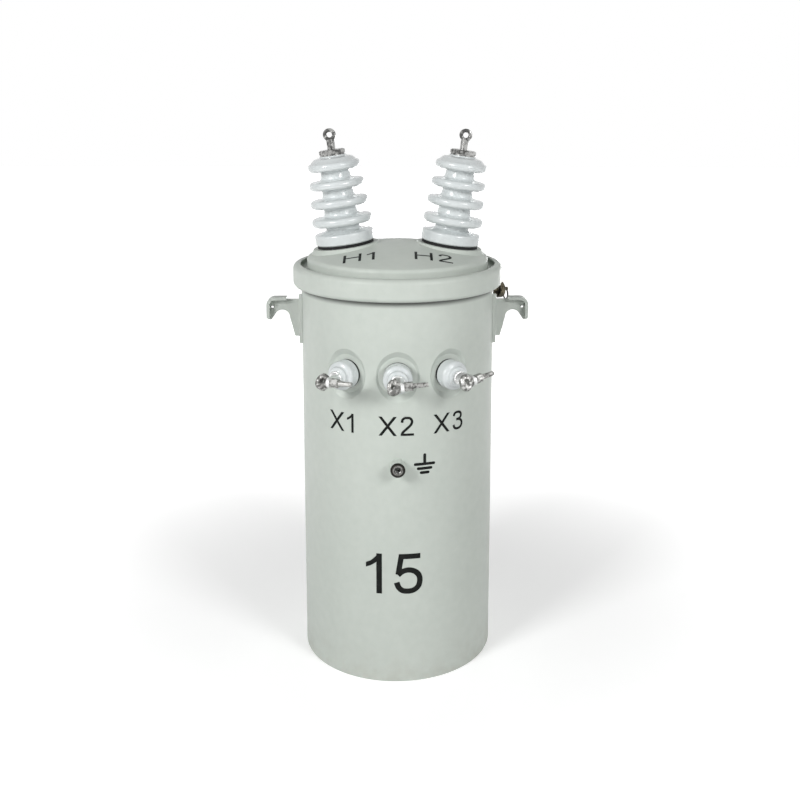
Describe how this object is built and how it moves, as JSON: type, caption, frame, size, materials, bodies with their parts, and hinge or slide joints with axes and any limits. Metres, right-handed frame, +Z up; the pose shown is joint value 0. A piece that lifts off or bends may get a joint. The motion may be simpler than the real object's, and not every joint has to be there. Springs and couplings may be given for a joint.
{
  "type": "pole mounted distribution transformer",
  "caption": "Single-phase pole mounted transformer: round steel tank, clamped domed cover, tilted shed bushings, front low voltage terminals, lifting lugs and pole hangers.",
  "frame": {"origin": "centre of the tank's foot, at floor level", "axes": "+Z up the tank axis, -Y towards the low voltage bushings, +Y towards the pole, +X from H1 to H2"},
  "size_m": [0.486, 0.4873, 0.9858],
  "materials": {
    "tank_paint": "satin",
    "porcelain": "gloss",
    "nitrile": "matte",
    "tinned_bronze": "satin",
    "zinc_steel": "satin",
    "brass": "satin"
  },
  "bodies": {
    "root": {"tank_wall": "tank_paint", "tank_bottom": "tank_paint", "cover": "tank_paint", "cover_band": "tank_paint", "ground_boss": "tank_paint", "lifting_lug_left": "tank_paint", "lifting_lug_right": "tank_paint", "hanger_upper": "tank_paint", "hanger_lower": "tank_paint", "cover_gasket": "nitrile", "band_bolt": "zinc_steel", "band_nut": "zinc_steel", "h1_gasket": "nitrile", "h1_porcelain": "porcelain", "h1_washer": "tinned_bronze", "h1_nut": "tinned_bronze", "h1_eye_stud": "tinned_bronze", "h2_gasket": "nitrile", "h2_porcelain": "porcelain", "h2_washer": "tinned_bronze", "h2_nut": "tinned_bronze", "h2_eye_stud": "tinned_bronze", "x1_gasket": "nitrile", "x1_porcelain": "porcelain", "x1_stud": "tinned_bronze", "x1_eyebolt": "tinned_bronze", "x1_nut": "tinned_bronze", "x2_gasket": "nitrile", "x2_porcelain": "porcelain", "x2_stud": "tinned_bronze", "x2_eyebolt": "tinned_bronze", "x2_nut": "tinned_bronze", "x3_gasket": "nitrile", "x3_porcelain": "porcelain", "x3_stud": "tinned_bronze", "x3_eyebolt": "tinned_bronze", "x3_nut": "tinned_bronze", "relief_valve_body": "brass", "relief_valve_cap": "brass", "relief_valve_ring": "brass"}
  },
  "joints": []
}
